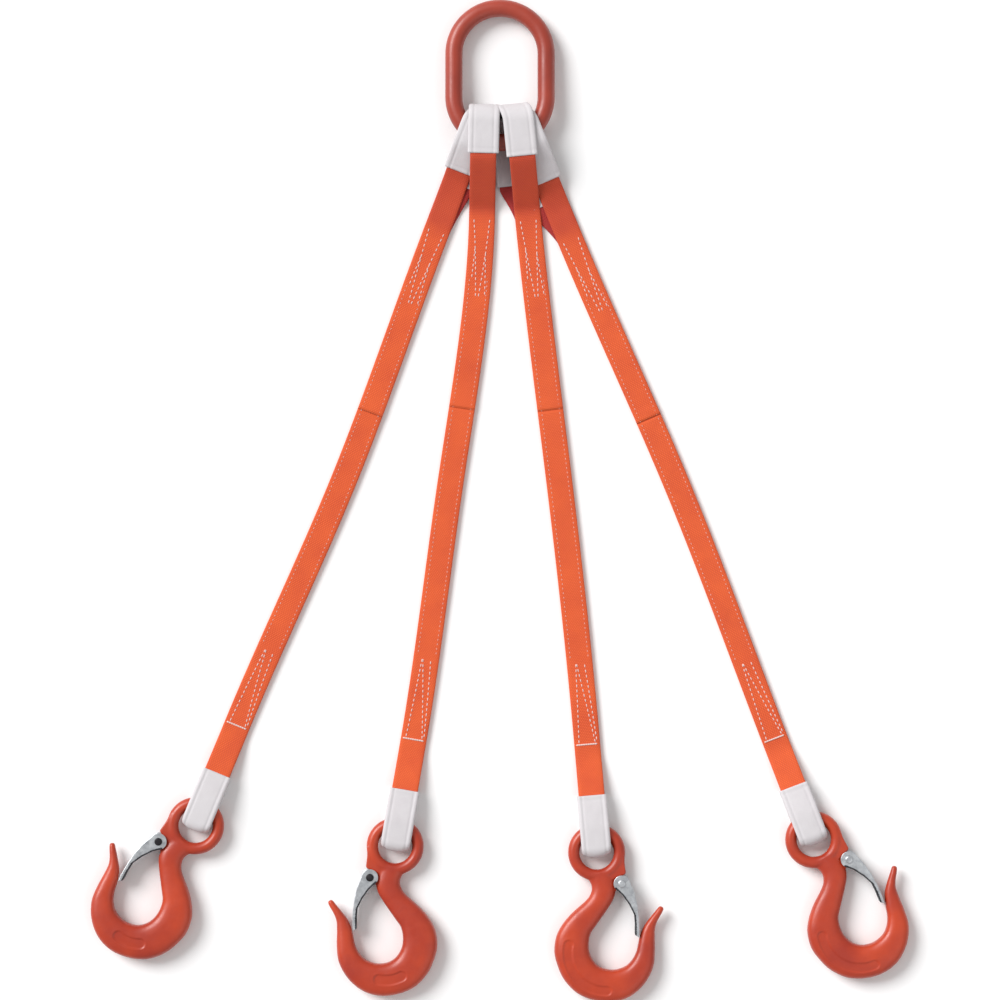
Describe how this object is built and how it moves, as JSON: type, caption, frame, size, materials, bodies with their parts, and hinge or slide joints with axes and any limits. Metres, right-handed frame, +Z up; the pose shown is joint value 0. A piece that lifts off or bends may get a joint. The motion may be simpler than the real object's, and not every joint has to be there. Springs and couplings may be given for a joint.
{
  "type": "flat web sling",
  "caption": "Flat web sling set with a master link, sewn two-ply belts, sleeved eyes and swinging eye hooks with spring latches, laid flat.",
  "frame": {"origin": "centre of the set's box on the table it lies on", "axes": "+Y along the set towards the master link, +X across the four legs, +Z up off the table"},
  "size_m": [0.7862, 0.9628, 0.0352],
  "materials": {
    "webbing": "woven, matt",
    "thread": "sewing thread",
    "sleeve": "woven, off-white",
    "enamel": "satin red-orange paint",
    "zinc": "zinc plated",
    "spring_steel": "plain steel wire",
    "pin_steel": "dark riveted steel"
  },
  "bodies": {
    "eye_bundle": {"leg_1_upper_eye_webbing": "webbing", "leg_1_upper_sleeve": "sleeve", "leg_2_upper_eye_webbing": "webbing", "leg_2_upper_sleeve": "sleeve", "leg_3_upper_eye_webbing": "webbing", "leg_3_upper_sleeve": "sleeve", "leg_4_upper_eye_webbing": "webbing", "leg_4_upper_sleeve": "sleeve"},
    "link": {"master_link": "enamel"},
    "belt_1": {"leg_1_sewn_webbing": "webbing", "leg_1_seam_thread": "thread"},
    "lower_eye_1": {"leg_1_lower_eye_webbing": "webbing", "leg_1_lower_sleeve": "sleeve"},
    "hook_1": {"hook_1_body": "enamel", "hook_1_pin": "pin_steel"},
    "latch_1": {"hook_1_latch": "zinc", "hook_1_spring": "spring_steel"},
    "belt_2": {"leg_2_sewn_webbing": "webbing", "leg_2_seam_thread": "thread"},
    "lower_eye_2": {"leg_2_lower_eye_webbing": "webbing", "leg_2_lower_sleeve": "sleeve"},
    "hook_2": {"hook_2_body": "enamel", "hook_2_pin": "pin_steel"},
    "latch_2": {"hook_2_latch": "zinc", "hook_2_spring": "spring_steel"},
    "belt_3": {"leg_3_sewn_webbing": "webbing", "leg_3_seam_thread": "thread"},
    "lower_eye_3": {"leg_3_lower_eye_webbing": "webbing", "leg_3_lower_sleeve": "sleeve"},
    "hook_3": {"hook_3_body": "enamel", "hook_3_pin": "pin_steel"},
    "latch_3": {"hook_3_latch": "zinc", "hook_3_spring": "spring_steel"},
    "belt_4": {"leg_4_sewn_webbing": "webbing", "leg_4_seam_thread": "thread"},
    "lower_eye_4": {"leg_4_lower_eye_webbing": "webbing", "leg_4_lower_sleeve": "sleeve"},
    "hook_4": {"hook_4_body": "enamel", "hook_4_pin": "pin_steel"},
    "latch_4": {"hook_4_latch": "zinc", "hook_4_spring": "spring_steel"}
  },
  "joints": [
    {"name": "master_link_swing", "type": "hinge", "parent": "eye_bundle", "child": "link", "pos_m": [0.00018, 0.38729, 0.01509], "axis": [0, 0.0794, 0.9968], "range_deg": [-22, 22]},
    {"name": "leg_1_upper_fold", "type": "hinge", "parent": "eye_bundle", "child": "belt_1", "pos_m": [-0.05982, 0.26188, 0.0022], "axis": [-0.9336, 0.3584, 0], "range_deg": [-60, 60]},
    {"name": "leg_1_lower_fold", "type": "hinge", "parent": "belt_1", "child": "lower_eye_1", "pos_m": [-0.25322, -0.21712, 0.0022], "axis": [0.9252, -0.3795, 0], "range_deg": [-60, 60]},
    {"name": "hook_1_swivel", "type": "hinge", "parent": "lower_eye_1", "child": "hook_1", "pos_m": [-0.29211, -0.31195, 0.01], "axis": [0, 0, 1], "range_deg": [-34.4, 65.6]},
    {"name": "hook_1_latch_hinge", "type": "hinge", "parent": "hook_1", "child": "latch_1", "pos_m": [-0.3272, -0.32659, 0.01], "axis": [0, 0, 1], "range_deg": [0, 30], "stiffness_Nm_per_rad": 0.05, "springref_deg": -28.65},
    {"name": "leg_2_upper_fold", "type": "hinge", "parent": "eye_bundle", "child": "belt_2", "pos_m": [-0.01712, 0.27338, 0.0022], "axis": [-0.9997, 0.0227, 0], "range_deg": [-60, 60]},
    {"name": "leg_2_lower_fold", "type": "hinge", "parent": "belt_2", "child": "lower_eye_2", "pos_m": [-0.08302, -0.23062, 0.0022], "axis": [0.9854, -0.1702, 0], "range_deg": [-60, 60]},
    {"name": "hook_2_swivel", "type": "hinge", "parent": "lower_eye_2", "child": "hook_2", "pos_m": [-0.10047, -0.33162, 0.01], "axis": [0, 0, 1], "range_deg": [-49.9, 50.1]},
    {"name": "hook_2_latch_hinge", "type": "hinge", "parent": "hook_2", "child": "latch_2", "pos_m": [-0.12458, -0.36102, 0.01], "axis": [0, 0, 1], "range_deg": [0, 30], "stiffness_Nm_per_rad": 0.05, "springref_deg": -28.65},
    {"name": "leg_3_upper_fold", "type": "hinge", "parent": "eye_bundle", "child": "belt_3", "pos_m": [0.02708, 0.27248, 0.0022], "axis": [-0.9951, -0.0993, 0], "range_deg": [-60, 60]},
    {"name": "leg_3_lower_fold", "type": "hinge", "parent": "belt_3", "child": "lower_eye_3", "pos_m": [0.08418, -0.23542, 0.0022], "axis": [0.9963, 0.0854, 0], "range_deg": [-60, 60]},
    {"name": "hook_3_swivel", "type": "hinge", "parent": "lower_eye_3", "child": "hook_3", "pos_m": [0.09294, -0.33755, 0.01], "axis": [0, 0, 1], "range_deg": [-54.9, 45.1]},
    {"name": "hook_3_latch_hinge", "type": "hinge", "parent": "hook_3", "child": "latch_3", "pos_m": [0.117, -0.36698, 0.01], "axis": [0, 0, -1], "range_deg": [0, 30], "stiffness_Nm_per_rad": 0.05, "springref_deg": -28.65},
    {"name": "leg_4_upper_fold", "type": "hinge", "parent": "eye_bundle", "child": "belt_4", "pos_m": [0.06708, 0.25328, 0.0022], "axis": [-0.9239, -0.3827, 0], "range_deg": [-60, 60]},
    {"name": "leg_4_lower_fold", "type": "hinge", "parent": "belt_4", "child": "lower_eye_4", "pos_m": [0.26468, -0.22962, 0.0022], "axis": [0.9336, 0.3584, 0], "range_deg": [-60, 60]},
    {"name": "hook_4_swivel", "type": "hinge", "parent": "lower_eye_4", "child": "hook_4", "pos_m": [0.30141, -0.32531, 0.01], "axis": [0, 0, 1], "range_deg": [-60.5, 39.5]},
    {"name": "hook_4_latch_hinge", "type": "hinge", "parent": "hook_4", "child": "latch_4", "pos_m": [0.33465, -0.34376, 0.01], "axis": [0, 0, -1], "range_deg": [0, 30], "stiffness_Nm_per_rad": 0.05, "springref_deg": -28.65}
  ]
}
